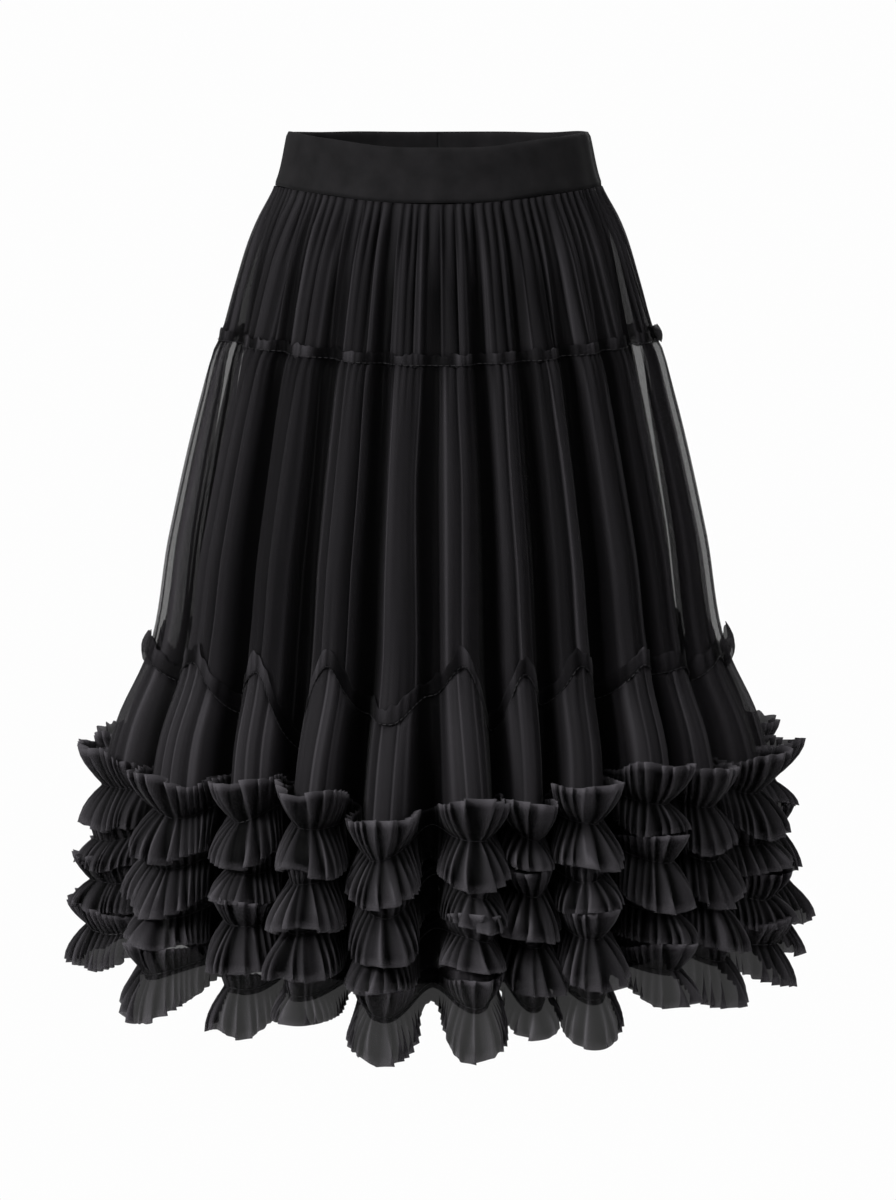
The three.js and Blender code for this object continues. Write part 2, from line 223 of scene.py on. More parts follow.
def dye(nodes, links, shader, tone, dark, light, dark_at=0.0, light_at=1.0):
    """Colour the cloth from dark to light as its tone rises from one value to the other."""
    ramp = nodes.new("ShaderNodeValToRGB")
    ramp.color_ramp.elements[0].color = (*dark, 1)
    ramp.color_ramp.elements[0].position = dark_at
    ramp.color_ramp.elements[1].color = (*light, 1)
    ramp.color_ramp.elements[1].position = light_at
    links.new(tone, ramp.inputs["Fac"])
    links.new(ramp.outputs["Color"], shader.inputs["Base Color"])


def raise_weave(nodes, links, shader, height, strength, distance):
    """Let the weave stand up from the cloth as a bump."""
    bump = nodes.new("ShaderNodeBump")
    bump.inputs["Strength"].default_value = strength
    bump.inputs["Distance"].default_value = distance
    links.new(height, bump.inputs["Height"])
    links.new(bump.outputs["Normal"], shader.inputs["Normal"])


def crepe_material():
    """Matte crepe: a fine pebbled weave and faint mottling."""
    material, nodes, links, shader = cloth_shader("matte_crepe", roughness=0.82, specular=0.1)
    shader.inputs["Sheen Weight"].default_value = 0.03
    shader.inputs["Sheen Roughness"].default_value = 0.5
    places = nodes.new("ShaderNodeTexCoord")
    mottle = nodes.new("ShaderNodeTexNoise")
    mottle.inputs["Scale"].default_value = 55
    mottle.inputs["Detail"].default_value = 4
    pebble = nodes.new("ShaderNodeTexNoise")
    pebble.inputs["Scale"].default_value = 1400
    pebble.inputs["Detail"].default_value = 2
    links.new(places.outputs["Object"], mottle.inputs["Vector"])
    links.new(places.outputs["Object"], pebble.inputs["Vector"])
    dye(nodes, links, shader, mottle.outputs["Fac"], CREPE_DARK, CREPE_LIGHT, dark_at=0.3, light_at=0.7)
    raise_weave(nodes, links, shader, pebble.outputs["Fac"], strength=0.35, distance=0.0003)
    return material


def band_piece(name, first, last, columns):
    """One cut piece of the band: a closed wall with rounded edges, from one seam to the next."""
    degrees = np.linspace(first, last, columns)
    angle = np.radians(degrees)
    seam_share = sum(np.exp(-((degrees - seam) / BAND_SEAM_BREADTH) ** 2) for seam in (first, last))
    outside = [(level, True) for level in np.linspace(BAND_BOTTOM, BAND_TOP, BAND_LEVELS)]
    inside = [(level, False) for level in np.linspace(BAND_TOP, BAND_BOTTOM, BAND_LEVELS)]
    rings = []
    for level, is_outside in reversed(outside + inside + outside[:1]):
        edge = min(BAND_TOP - level, level - BAND_BOTTOM)
        rounding = BAND_EDGE_ROUNDING * max(0.0, 1 - edge / BAND_EDGE_REACH) ** 2
        depth_in = rounding if is_outside else CREPE_THICKNESS - rounding
        width, depth, _ = section_at(SILHOUETTE, np.full_like(degrees, level))
        out = np.stack([np.sin(angle) / width, -np.cos(angle) / depth], -1)
        out /= np.linalg.norm(out, axis=-1, keepdims=True)
        ripple = BAND_RIPPLE * uneven(degrees, waves=9, seed=11) * (1 - ((level / BAND_TOP) ** 2))
        ripple = ripple + BAND_FINE_RIPPLE * uneven(degrees, waves=23, seed=12)
        push = -depth_in + ripple - (BAND_SEAM_GROOVE * seam_share if is_outside else 0)
        x = width * np.sin(angle) + push * out[:, 0]
        y = -depth * np.cos(angle) + push * out[:, 1]
        z = level - front_drop(level, angle) + BAND_EDGE_WAVE * uneven(degrees, waves=7, seed=13)
        rings.append(np.stack([x, y, z], -1))
    points = np.array(rings)
    mesh = grid_mesh(name, points, cloth_lengths(points))
    shell = bmesh.new()
    shell.from_mesh(mesh)
    bmesh.ops.remove_doubles(shell, verts=shell.verts, dist=1e-6)
    bmesh.ops.holes_fill(shell, edges=[e for e in shell.edges if e.is_boundary], sides=0)
    bmesh.ops.recalc_face_normals(shell, faces=shell.faces)
    shell.to_mesh(mesh)
    shell.free()
    mesh.materials.append(crepe)
    piece = bpy.data.objects.new(name, mesh)
    bpy.context.collection.objects.link(piece)
    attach(piece, "root")
    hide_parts(name.replace("_cloth", ""))


crepe = crepe_material()
band_piece("waistband_front_cloth", -90, 90, 181)
band_piece("waistband_back_right_cloth", 90, 180, 91)
band_piece("waistband_back_left_cloth", 180, 270, 91)

# Lining: a plain A-line slip of opaque black lining cloth, sewn inside the band. It shows as solid
# black through the net, and its hem hangs level with the line where the lowest ruffles are sewn on.
LINING_THICKNESS = 0.0005
LINING_TOP = -0.0155
LINING_HEM = -0.690
LINING_COLUMNS = 110
LINING_ROWS = 28
LINING_RIPPLE = 0.004
LINING_RIPPLE_FALL = 0.3
LINING_DARK = (0.0008, 0.0008, 0.0009)
LINING_LIGHT = (0.0019, 0.0018, 0.0020)
LINING_SHAPE = [
    {"z": 0.024, "width": 0.1299, "depth": 0.0949},
    {"z": -0.0235, "width": 0.1419, "depth": 0.1049},
    {"z": -0.154, "width": 0.169, "depth": 0.139},
    {"z": -0.300, "width": 0.197, "depth": 0.171},
    {"z": -0.440, "width": 0.216, "depth": 0.190},
    {"z": -0.615, "width": 0.242, "depth": 0.216},
    {"z": -0.690, "width": 0.244, "depth": 0.218},
]


def lining_material():
    """Smooth lining cloth: near black, a faint fine twill and a slight shine."""
    material, nodes, links, shader = cloth_shader("black_lining", roughness=0.6, specular=0.02)
    places = nodes.new("ShaderNodeUVMap")
    places.uv_map = "cloth"
    twill = nodes.new("ShaderNodeTexWave")
    twill.bands_direction = "DIAGONAL"
    twill.inputs["Scale"].default_value = 260
    twill.inputs["Distortion"].default_value = 1.5
    links.new(places.outputs["UV"], twill.inputs["Vector"])
    dye(nodes, links, shader, twill.outputs["Fac"], LINING_DARK, LINING_LIGHT)
    raise_weave(nodes, links, shader, twill.outputs["Fac"], strength=0.2, distance=0.0002)
    return material


def cloth_piece(name, points, thickness, material, nodes,
                free_edge=0.0, raised=0.5):
    """A closed thin shell of cloth on its outer points, standing for the CAD nodes that it covers."""
    # raised is painted shade: 0 deep between folds, pleats and gathers, 1 on the parts that face out.
    mesh = grid_mesh(name, points, cloth_lengths(points), free_edge=free_edge, raised=raised)
    mesh.materials.append(material)
    piece = bpy.data.objects.new(name, mesh)
    bpy.context.collection.objects.link(piece)
    shell = piece.modifiers.new("thickness", "SOLIDIFY")
    shell.thickness = thickness
    shell.offset = -1
    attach(piece, "root")
    if nodes:
        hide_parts(*nodes)


def lining_piece(side, first, last):
    """One half of the slip, which ripples a little more the lower it hangs."""
    degrees = np.linspace(first, last, LINING_COLUMNS)
    levels = np.linspace(LINING_TOP, LINING_HEM, LINING_ROWS)[:, None] * np.ones_like(degrees)
    angle = np.radians(degrees)[None, :] * np.ones_like(levels)
    width, depth, _ = section_at(LINING_SHAPE, levels)
    fall = np.clip((LINING_TOP - levels) / LINING_RIPPLE_FALL, 0, 1)
    ripple = 1 - LINING_RIPPLE * fall * (1 + uneven(degrees, waves=14, seed=21)[None, :])
    points = np.stack([
        width * ripple * np.sin(angle),
        -depth * ripple * np.cos(angle),
        levels - front_drop(levels, angle),
    ], -1)
    cloth_piece(f"lining_{side}_cloth", points, LINING_THICKNESS, lining, [f"lining_{side}"])


lining = lining_material()
lining_piece("front", -89.95, 89.95)
lining_piece("back", 90.05, 269.95)

# Yoke tier: a front and a back of net, gathered into the band in about a hundred small gathers, which
# puff out below it and run together into the folds of the long tier at the yoke's seam.
NET_THICKNESS = 0.0004
YOKE_SEAM = -0.154
YOKE_PUFF = -0.052
LOWER_SEAM = -0.415
LOWER_SEAM_SIDE_DROP = 0.017
FIRST_RUFFLE_LINE = -0.550
YOKE_GATHERS = 104
YOKE_FOLDS = 58
YOKE_COLUMNS = 620
YOKE_ROWS = 17
YOKE_PUFF_HEIGHT = 0.022
YOKE_PUFF_GATHERS = 0.0034
YOKE_PUFF_FOLDS = 0.0024
YOKE_GATHER_DEPTH = 0.0010
YOKE_FOLD_DEPTH = 0.0048
YOKE_SEAM_GATHERS = 0.0012
EDGE_GAP = 0.0003
SEAM_GAP = 0.0002
LEADING_HIGHLIGHT_BREADTH = 0.05
NET_HOLE = 0.0014
NET_WAVES = 2 * math.pi / (NET_HOLE * math.cos(math.radians(30)))
NET_DARK = (0.0008, 0.0007, 0.0009)
NET_TONE = 0.42
WEAVE_TONE = 0.12
STREAK_TONE = 0.40
# How far the painted highlight along cut, doubled and fold edges lightens the net
PAINTED_EDGE_HIGHLIGHT = 0.60
# Painted shade between folds: where it starts across a fold and how far it deepens; then where and how broad
# the painted highlight along each fold's edge is.
PANEL_ENDS = 0.45
PANEL_FADES = 0.35
FOLD_TURNS_AT = 0.50
FOLD_EDGE_HIGHLIGHT_BREADTH = 0.04
FINE_PLACES = 8001
LOW_TUCK = 0.8
HANG_TURN = math.radians(4)
CREST_BREADTH = 1.5
FOLDS = [
    {"at": -82, "reach": 1.0, "tuck": 0.8, "sag": 0.000, "dip": 0.025, "drift": 0},
    {"at": -54, "reach": 1.0, "tuck": 0.9, "sag": 0.000, "dip": 0.045, "drift": 0},
    {"at": -38, "reach": 0.8, "tuck": 1.0, "sag": 0.006, "dip": 0.074, "drift": 0},
    {"at": -21, "reach": 1.0, "tuck": 1.0, "sag": 0.000, "dip": 0.044, "drift": -3},
    {"at": -8, "reach": 0.97, "tuck": 0.35, "sag": 0.046, "dip": 0.026, "drift": -2},
    {"at": 5, "reach": 1.0, "tuck": 1.0, "sag": 0.000, "dip": 0.058, "drift": 2},
    {"at": 17, "reach": 0.74, "tuck": 0.9, "sag": 0.008, "dip": 0.036, "drift": 1},
    {"at": 28, "reach": 1.0, "tuck": 0.95, "sag": 0.000, "dip": 0.032, "drift": 0},
    {"at": 43, "reach": 1.0, "tuck": 0.7, "sag": 0.000, "dip": 0.012, "drift": 0},
    {"at": 55, "reach": 0.92, "tuck": 0.85, "sag": 0.004, "dip": 0.024, "drift": 0},
    {"at": 71, "reach": 1.0, "tuck": 0.85, "sag": 0.000, "dip": 0.028, "drift": 0},
    {"at": 90, "reach": 0.97, "tuck": 0.9, "sag": 0.000, "dip": 0.034, "drift": 0},
    {"at": 105, "reach": 1.0, "tuck": 0.85, "sag": 0.004, "dip": 0.024, "drift": 0},
    {"at": 119, "reach": 0.88, "tuck": 1.0, "sag": 0.000, "dip": 0.052, "drift": 0},
    {"at": 133, "reach": 1.0, "tuck": 0.9, "sag": 0.000, "dip": 0.030, "drift": 0},
    {"at": 147, "reach": 0.8, "tuck": 0.85, "sag": 0.006, "dip": 0.044, "drift": 1},
    {"at": 160, "reach": 1.0, "tuck": 1.0, "sag": 0.000, "dip": 0.060, "drift": -2},
    {"at": 174, "reach": 0.96, "tuck": 0.35, "sag": 0.040, "dip": 0.026, "drift": -1},
    {"at": 187, "reach": 1.0, "tuck": 0.95, "sag": 0.000, "dip": 0.050, "drift": 2},
    {"at": 201, "reach": 0.78, "tuck": 0.9, "sag": 0.008, "dip": 0.036, "drift": 1},
    {"at": 215, "reach": 1.0, "tuck": 1.0, "sag": 0.000, "dip": 0.040, "drift": 0},
    {"at": 230, "reach": 0.93, "tuck": 0.8, "sag": 0.000, "dip": 0.022, "drift": 0},
    {"at": 245, "reach": 1.0, "tuck": 0.9, "sag": 0.004, "dip": 0.046, "drift": 0},
    {"at": 260, "reach": 0.9, "tuck": 0.8, "sag": 0.000, "dip": 0.026, "drift": 0},
]
FRONT_STARTS = -91.0
FRONT_ENDS = 80.5
BACK_ENDS = 269.0
HALVES = [
    {"side": "front", "first": FRONT_STARTS, "last": FRONT_ENDS},
    {"side": "back", "first": FRONT_ENDS, "last": BACK_ENDS},
]


def eased(share):
    return (1 - np.cos(np.pi * share)) / 2


def between_crests(degrees, crests):
    """For places round the skirt: the numbers of the crests before and after each, and the share of the
    way from the one to the other."""
    turned = (np.asarray(degrees, float) - crests[0]) % 360 + crests[0]
    before = np.searchsorted(crests, turned, side="right") - 1
    after = (before + 1) % len(crests)
    share = (turned - crests[before]) / ((crests[after] - crests[before]) % 360)
    return before, after, share


def fold_facts(degrees):
    """For places round the skirt: the share of the way from crest (0) to valley (1), and what the
    folds table says of the crest and of the valley that each place is between."""
    column = {word: np.array([fold[word] for fold in FOLDS], float) for word in FOLDS[0]}
    before, after, share = between_crests(degrees, column["at"])
    nearest = np.where(share < 0.5, before, after)
    return {
        "to_valley": np.where(share < 0.5, 2 * share, 2 * (1 - share)),
        "reach": column["reach"][nearest],
        "sag": column["sag"][nearest],
        "tuck": column["tuck"][before],
        "dip": column["dip"][before],
        "drift": mix(column["drift"][before], column["drift"][after], eased(share)),
        "nearest": nearest,
    }


def seam_drop(degrees):
    """How far the lower seam hangs below its highest level."""
    facts = fold_facts(degrees)
    return mix(facts["sag"], facts["dip"], eased(facts["to_valley"]))


def hanging_cloth(degrees, level, extra_inset=0.0, breadth=CREST_BREADTH):
    """Points of the folded cloth at places round the skirt and at levels, extra_inset further in."""
    facts = fold_facts(degrees)
    width, depth, fold_depth = section_at(SILHOUETTE, level)
    hung = np.clip((LOWER_SEAM - level) / (LOWER_SEAM - FIRST_RUFFLE_LINE), 0, 1)
    angle = np.radians(degrees + facts["drift"] * hung)
    angle = angle - HANG_TURN * np.sin(2 * np.radians(degrees)) * hung
    out_x, out_y = np.sin(angle) / width, -np.cos(angle) / depth
    length = np.hypot(out_x, out_y)
    out_x, out_y = out_x / length, out_y / length
    valley = eased(facts["to_valley"] ** breadth)
    tuck = mix(facts["tuck"], np.maximum(facts["tuck"], LOW_TUCK), hung)
    inset = fold_depth * mix(1 - facts["reach"], tuck, valley) + extra_inset
    return np.stack([
        width * np.sin(angle) - inset * out_x,
        -depth * np.cos(angle) - inset * out_y,
        level - front_drop(level, angle),
    ], -1)


def even_places(first, last, count, level, crest_share=1.5):
    """Places round the skirt from one to another, at even steps along the folded cloth of a level,
    closer together on the crests, where the cloth is seen best."""
    fine = np.linspace(first, last, FINE_PLACES)
    points = hanging_cloth(fine, np.full_like(fine, level))
    steps = np.linalg.norm(np.diff(points, axis=0), axis=1)
    steps = steps * (1 + crest_share * (1 - eased(fold_facts(fine[1:])["to_valley"])))
    walked = np.concatenate([[0], np.cumsum(steps)])
    return np.interp(np.linspace(0, walked[-1], count), walked, fine)


def gathers(degrees, count, seed, sway=2.2):
    """Pleats round the skirt, round outside and sharp inside: 0 on their crests and 1 in their valleys."""
    phase = np.radians(degrees) * count + sway * uneven(degrees, waves=count / 6, seed=seed)
    return 1 - np.abs(np.cos(phase / 2)) ** 0.8


def overlapping_folds(degrees, count, seed):
    """Folds that lie over one another, of uneven width: how far across its fold each place is, from the
    fold's leading edge (0) to where the next one covers it (1), and how light that fold is."""
    phase = degrees * count / 360 + 0.32 * uneven(degrees, waves=count / 4, seed=seed)
    lightness = np.random.default_rng(seed).uniform(0, 1, count)
    return phase % 1, lightness[np.floor(phase).astype(int) % count]


def painted_fold_light(degrees, seed):
    """Painted shade and highlight on the folds: 1 where the cloth faces out on a fold and 0 deep between
    folds, where painted shade darkens the net, and how strongly a painted highlight shows along the fold's
    edge, where the net turns in and is doubled."""
    to_valley = fold_facts(degrees)["to_valley"]
    painted_panel_light = 1 - eased(np.clip((to_valley - PANEL_ENDS) / PANEL_FADES, 0, 1))
    strength = np.clip(0.55 + 0.6 * uneven(degrees, waves=31, seed=seed), 0, 1)
    return painted_panel_light, strength * np.exp(-(((to_valley - FOLD_TURNS_AT) / FOLD_EDGE_HIGHLIGHT_BREADTH) ** 2))


def worked_out(nodes, links, operation, *values):
    """The result of a Math node, from other nodes' results and plain numbers."""
    node = nodes.new("ShaderNodeMath")
    node.operation = operation
    for socket, value in zip(node.inputs, values):
        if isinstance(value, bpy.types.NodeSocket):
            links.new(value, socket)
        else:
            socket.default_value = value
    return node.outputs["Value"]


def net_material(name, dark, light, alpha, shine):
    """Nylon tulle: a fine six-sided net, uneven streaks where it is creased, painted shade between folds,
    pleats and gathers, and painted highlights along the edges where it is cut or doubled."""
    material, nodes, links, shader = cloth_shader(name, roughness=0.6, specular=0.03)
    shader.inputs["Sheen Weight"].default_value = shine
    shader.inputs["Sheen Roughness"].default_value = 0.35
    shader.inputs["Alpha"].default_value = alpha
    places = nodes.new("ShaderNodeUVMap")
    places.uv_map = "cloth"
    total = None
    for turn in (90, 210, 330):
        across = nodes.new("ShaderNodeVectorMath")
        across.operation = "DOT_PRODUCT"
        heading = (math.cos(math.radians(turn)), math.sin(math.radians(turn)), 0)
        across.inputs[1].default_value = [NET_WAVES * part for part in heading]
        links.new(places.outputs["UV"], across.inputs[0])
        wave = worked_out(nodes, links, "COSINE", across.outputs["Value"])
        total = wave if total is None else worked_out(nodes, links, "ADD", total, wave)
    threads = nodes.new("ShaderNodeMapRange")
    threads.inputs["From Min"].default_value = -1.5
    threads.inputs["From Max"].default_value = 0.8
    threads.inputs["To Min"].default_value = 1.0
    threads.inputs["To Max"].default_value = 0.0
    links.new(total, threads.inputs["Value"])
    stretch = nodes.new("ShaderNodeMapping")
    stretch.inputs["Scale"].default_value = (160, 5, 1)
    links.new(places.outputs["UV"], stretch.inputs["Vector"])
    streaks = nodes.new("ShaderNodeTexNoise")
    streaks.noise_dimensions = "2D"
    streaks.inputs["Scale"].default_value = 1.0
    streaks.inputs["Detail"].default_value = 2
    links.new(stretch.outputs["Vector"], streaks.inputs["Vector"])
    # Painted shade from the raised attribute darkens the net between folds, pleats and gathers; the free_edge
    # attribute adds painted highlights along edges.
    raised = nodes.new("ShaderNodeAttribute")
    raised.attribute_name = "raised"
    edge = nodes.new("ShaderNodeAttribute")
    edge.attribute_name = "free_edge"
    weave = worked_out(nodes, links, "MULTIPLY_ADD", threads.outputs["Result"], WEAVE_TONE, NET_TONE)
    creased = worked_out(nodes, links, "MULTIPLY_ADD", streaks.outputs["Fac"], STREAK_TONE, weave)
    lit = worked_out(nodes, links, "MULTIPLY", raised.outputs["Fac"], creased)
    tone = worked_out(nodes, links, "MULTIPLY_ADD", edge.outputs["Fac"], PAINTED_EDGE_HIGHLIGHT, lit)
    dye(nodes, links, shader, tone, dark, light, dark_at=0.02)
    raise_weave(nodes, links, shader, threads.outputs["Result"], strength=0.3, distance=0.0002)
    return material


def yoke_piece(side, first, last):
    degrees = even_places(first, last, YOKE_COLUMNS, YOKE_PUFF)[None, :]
    share = np.linspace(0, 1, YOKE_ROWS)[:, None] ** 1.2
    level = mix(BAND_BOTTOM - EDGE_GAP, YOKE_SEAM + SEAM_GAP, share) + 0 * degrees
    many = gathers(degrees, YOKE_GATHERS, seed=31)
    across, lightness = overlapping_folds(degrees, YOKE_FOLDS, seed=32)
    puff = np.exp(-((level - YOKE_PUFF) / YOKE_PUFF_HEIGHT) ** 2)
    middle = share * (1 - share) * 4
    inset = YOKE_GATHER_DEPTH * many + puff * (YOKE_PUFF_GATHERS * many + YOKE_PUFF_FOLDS * across)
    inset = inset + middle * (YOKE_GATHER_DEPTH * many + YOKE_FOLD_DEPTH * across**1.5)
    inset = inset + share * YOKE_SEAM_GATHERS * many
    points = hanging_cloth(degrees, level, inset)
    painted_panel_light, edge = painted_fold_light(degrees, seed=33)
    # Painted shade: the net darkens between folds, towards where the next fold covers it and in the hollows
    # of the gathers near the band; a painted highlight runs along each fold's leading and turned-in edges.
    yoke_fold_shading = mix(0.25, 1, painted_panel_light) * mix(0.35, 1, lightness)
    yoke_fold_shading = yoke_fold_shading * (1 - across) ** 0.7 * (0.75 + 0.25 * (1 - many))
    raised = mix((1 - many) ** 1.3, yoke_fold_shading, np.clip(0.25 + 1.3 * share, 0, 1))
    painted_leading_highlights = (0.3 + 0.5 * lightness) * (across < LEADING_HIGHLIGHT_BREADTH)
    edges = np.maximum(edge * painted_panel_light, painted_leading_highlights) * np.clip((share - 0.1) / 0.3, 0, 1)
    cloth_piece(f"yoke_tier_{side}_net", points, NET_THICKNESS, yoke_net, [f"yoke_tier_{side}"],
                edges, raised)


yoke_net = net_material("yoke_tulle", NET_DARK, (0.0340, 0.0320, 0.0356), alpha=0.6, shine=0.03)
for half in HALVES:
    yoke_piece(**half)

# The yoke's seam: the gathered edges of both tiers are sewn together and pressed flat, as a narrow
# crinkled strip of several layers of net.
YOKE_ALLOWANCE = 0.0100
ALLOWANCE_GAP = 0.0009
ALLOWANCE_CRINKLE = 0.0013
ALLOWANCE_ROWS = 6
YOKE_BUNCHES = [{"at": 86, "breadth": 7, "out": 0.0060}, {"at": 262, "breadth": 5, "out": 0.0030}]


def allowance_piece(seam, side, first, last):
    """A crinkled strip along a seam, on the outside of the cloth, which stands further out where it is
    bunched up."""
    height, above = seam["height"], seam["above"]
    degrees = even_places(first, last, seam["columns"], seam["rests_level"], 0.4)[None, :]
    share = np.linspace(0, 1, ALLOWANCE_ROWS)[:, None]
    ragged = 1 + 0.24 * uneven(degrees, waves=55, seed=71) + 0.16 * uneven(degrees, waves=150, seed=72)
    level = seam["level"](degrees) + height * (above - share) * ragged
    crinkle = 0.5 * gathers(degrees, count=190, seed=73, sway=5)
    crinkle = crinkle + 0.5 * gathers(degrees, count=110, seed=74, sway=5)
    lift = ALLOWANCE_GAP + ALLOWANCE_CRINKLE * (1 - crinkle) * (1 - share)
    for bunch in seam["bunches"]:
        aside = (degrees - bunch["at"] + 180) % 360 - 180
        bunched = np.exp(-((aside / bunch["breadth"]) ** 2))
        lift = lift + bunch["out"] * bunched * np.sin(np.pi * (0.15 + 0.7 * share))
        level = level + 0.5 * height * bunched * (above - share)
    points = hanging_cloth(degrees, level, -lift)
    # Painted shade: the strip darkens between the folds, in the hollows of its crinkles and towards its lower
    # edge, and is patchy at random.
    painted_panel_light, _ = painted_fold_light(degrees, seed=76)
    patchy = np.clip(0.55 + 0.6 * uneven(degrees, waves=40, seed=77), 0.1, 1)
    cloth_piece(f"{seam['name']}_{side}", points, NET_THICKNESS, allowance_net, [],
                raised=painted_panel_light * patchy * (1 - 0.9 * crinkle) * mix(0.6, 1, 1 - share))


allowance_net = net_material("allowance_tulle", NET_DARK, (0.0560, 0.0527, 0.0587), alpha=0.72, shine=0.03)
yoke_strip = {
    "name": "yoke_seam", "on": "yoke_tier", "columns": 620,
    "level": lambda degrees: YOKE_SEAM + 0 * degrees,
    "height": YOKE_ALLOWANCE, "above": 0.55, "rests_level": YOKE_SEAM, "bunches": YOKE_BUNCHES,
    "cuts": {"front": (0.64, YOKE_ALLOWANCE), "back": (0.71, YOKE_ALLOWANCE)},
}
for half in HALVES:
    allowance_piece(yoke_strip, **half)

# Long tier: wide net gathered to the yoke, falling in long deep folds with sharp creases down their
# sides. Its lower edge hangs unevenly, high on the crests of the folds and low between them.


def lower_seam(degrees):
    return LOWER_SEAM - LOWER_SEAM_SIDE_DROP * np.sin(np.radians(degrees)) ** 2 - seam_drop(degrees)


LONG_FOLDS = 66
LONG_COLUMNS = 780
LONG_ROWS = 24
LONG_MIDDLE = -0.35
LONG_TOP_GATHERS = 0.0024
LONG_CREASES = 0.0050
LONG_PUFF = 0.0035
LONG_PUFF_FALL = 0.02
LONG_LOWER_GATHERS = 0.0016
LONG_SWAY = 0.9
LONG_SWAY_FALL = 0.26


def long_piece(side, first, last):
    degrees = even_places(first, last, LONG_COLUMNS, LONG_MIDDLE)[None, :]
    share = np.linspace(0, 1, LONG_ROWS)[:, None]
    top = YOKE_SEAM - SEAM_GAP
    level = mix(top, lower_seam(degrees), share)
    fall = top - level
    top_gathers = gathers(degrees, count=170, seed=41)
    seam_gathers = LONG_TOP_GATHERS * top_gathers * np.exp(-fall / 0.03)
    across, lightness = overlapping_folds(degrees, LONG_FOLDS, seed=42)
    creases = LONG_CREASES * across**1.3 * np.clip(fall / 0.05, 0, 1)
    creases = creases * (0.8 + 0.3 * uneven(degrees, waves=9, seed=43))
    puff = -LONG_PUFF * (fall / LONG_PUFF_FALL) * np.exp(1 - fall / LONG_PUFF_FALL)
    lower_gathers = LONG_LOWER_GATHERS * gathers(degrees, count=140, seed=44) * share**6
    sway = LONG_SWAY * np.sin(fall / LONG_SWAY_FALL * np.pi) * uneven(degrees, waves=13, seed=45)
    sway = sway * np.clip(fall / 0.1, 0, 1) * (1 - share)
    points = hanging_cloth(degrees + sway, level, seam_gathers + creases + lower_gathers + puff)
    painted_panel_light, edge = painted_fold_light(degrees, seed=46)
    # Painted shade: darker between folds, towards where the next fold covers a fold and in the gathers just
    # below the yoke's seam; painted highlights along the folds' leading and turned-in edges, fading out near
    # the seam.
    raised = painted_panel_light * mix(0.5, 1, lightness) * (1 - 0.65 * across)
    raised = raised * (1 - 0.8 * top_gathers * np.exp(-fall / 0.035))
    painted_leading_highlights = (0.3 + 0.5 * lightness) * (across < LEADING_HIGHLIGHT_BREADTH) * painted_panel_light
    edges = np.maximum(edge, painted_leading_highlights) * np.clip(fall / 0.04, 0, 1)
    cloth_piece(f"long_tier_{side}_net", points, NET_THICKNESS, long_net, [f"long_tier_{side}"],
                edges, raised)


long_net = net_material("long_tulle", NET_DARK, (0.0440, 0.0415, 0.0460), alpha=0.38, shine=0.03)
for half in HALVES:
    long_piece(**half)

# The lower seam's allowance: a wider strip, pressed up over the long tier, which follows the seam over
# its peaks and dips.
LOWER_ALLOWANCE = 0.0150
LOWER_BUNCHES = [{"at": -86, "breadth": 7, "out": 0.0070}, {"at": 86, "breadth": 9, "out": 0.0080}]
lower_strip = {
    "name": "lower_seam", "on": "long_tier", "columns": 760, "level": lower_seam,
    "height": LOWER_ALLOWANCE, "above": 0.85, "rests_level": -0.44, "bunches": LOWER_BUNCHES,
    "cuts": {"front": (1.32, LOWER_ALLOWANCE), "back": (1.50, LOWER_ALLOWANCE)},
}
for half in HALVES:
    allowance_piece(lower_strip, **half)

# Ruffle tier: net gathered to the long tier along the uneven seam. Its folds hang straight and deep,
# and are pinched in where each row of ruffles is sewn on.
RUFFLE_LINES = [-0.550, -0.594, -0.637, -0.687]
VALLEY_LIFT = 0.014
HEM_ALLOWANCE = 0.005
HEM_ROW = 3
TIER_COLUMNS = 660
TIER_ROWS = 24
TIER_MIDDLE = -0.6
TIER_TOP_GATHERS = 0.0022
TIER_TOP_FALL = 0.02
TIER_FINE_GATHERS = 0.0012
TIER_BREADTH = 0.15
TIER_LEADING_HIGHLIGHT_BREADTH = 0.08
LINE_TILT = 0.004
TIER_FOLDS = 116
PINCH_HEIGHT = 0.012
PINCH_SIDES = 0.5
PINCH_DEPTH = 0.0035
# Where the four rows are sewn on at each crest, in millimetres below the middle of the waistband
SEWN_AT = {
    -82: (555, 600, 637, 680), -54: (554, 596, 638, 688), -38: (548, 596, 640, 694),
    -21: (549, 594, 636, 686), -8: (574, 616, 657, 702), 5: (553, 600, 640, 690),
    17: (562, 606, 648, 694), 28: (546, 592, 640, 690), 43: (538, 584, 628, 676),
    55: (549, 592, 632, 678), 71: (548, 590, 638, 684), 90: (558, 600, 644, 684),
    105: (548, 592, 636, 684), 119: (556, 602, 644, 692), 133: (546, 590, 632, 682),
    147: (560, 604, 648, 696), 160: (550, 594, 640, 690), 174: (570, 612, 654, 700),
    187: (550, 596, 638, 686), 201: (560, 604, 648, 694), 215: (544, 590, 636, 686),
    230: (552, 594, 634, 680), 245: (547, 590, 634, 684), 260: (556, 600, 642, 688),
}


def sewn_line(degrees, row):
    """The level of a row's stitched line, which strays from crest to crest and rises in the valleys."""
    crests = np.array(sorted(SEWN_AT), float)
    levels = np.array([-SEWN_AT[crest][row] / 1000 for crest in sorted(SEWN_AT)])
    before, after, share = between_crests(degrees, crests)
    valley = eased(fold_facts(degrees)["to_valley"] ** CREST_BREADTH)
    tilt = LINE_TILT * uneven(degrees, waves=24, seed=51 + row)
    return mix(levels[before], levels[after], eased(share)) + VALLEY_LIFT * valley + tilt


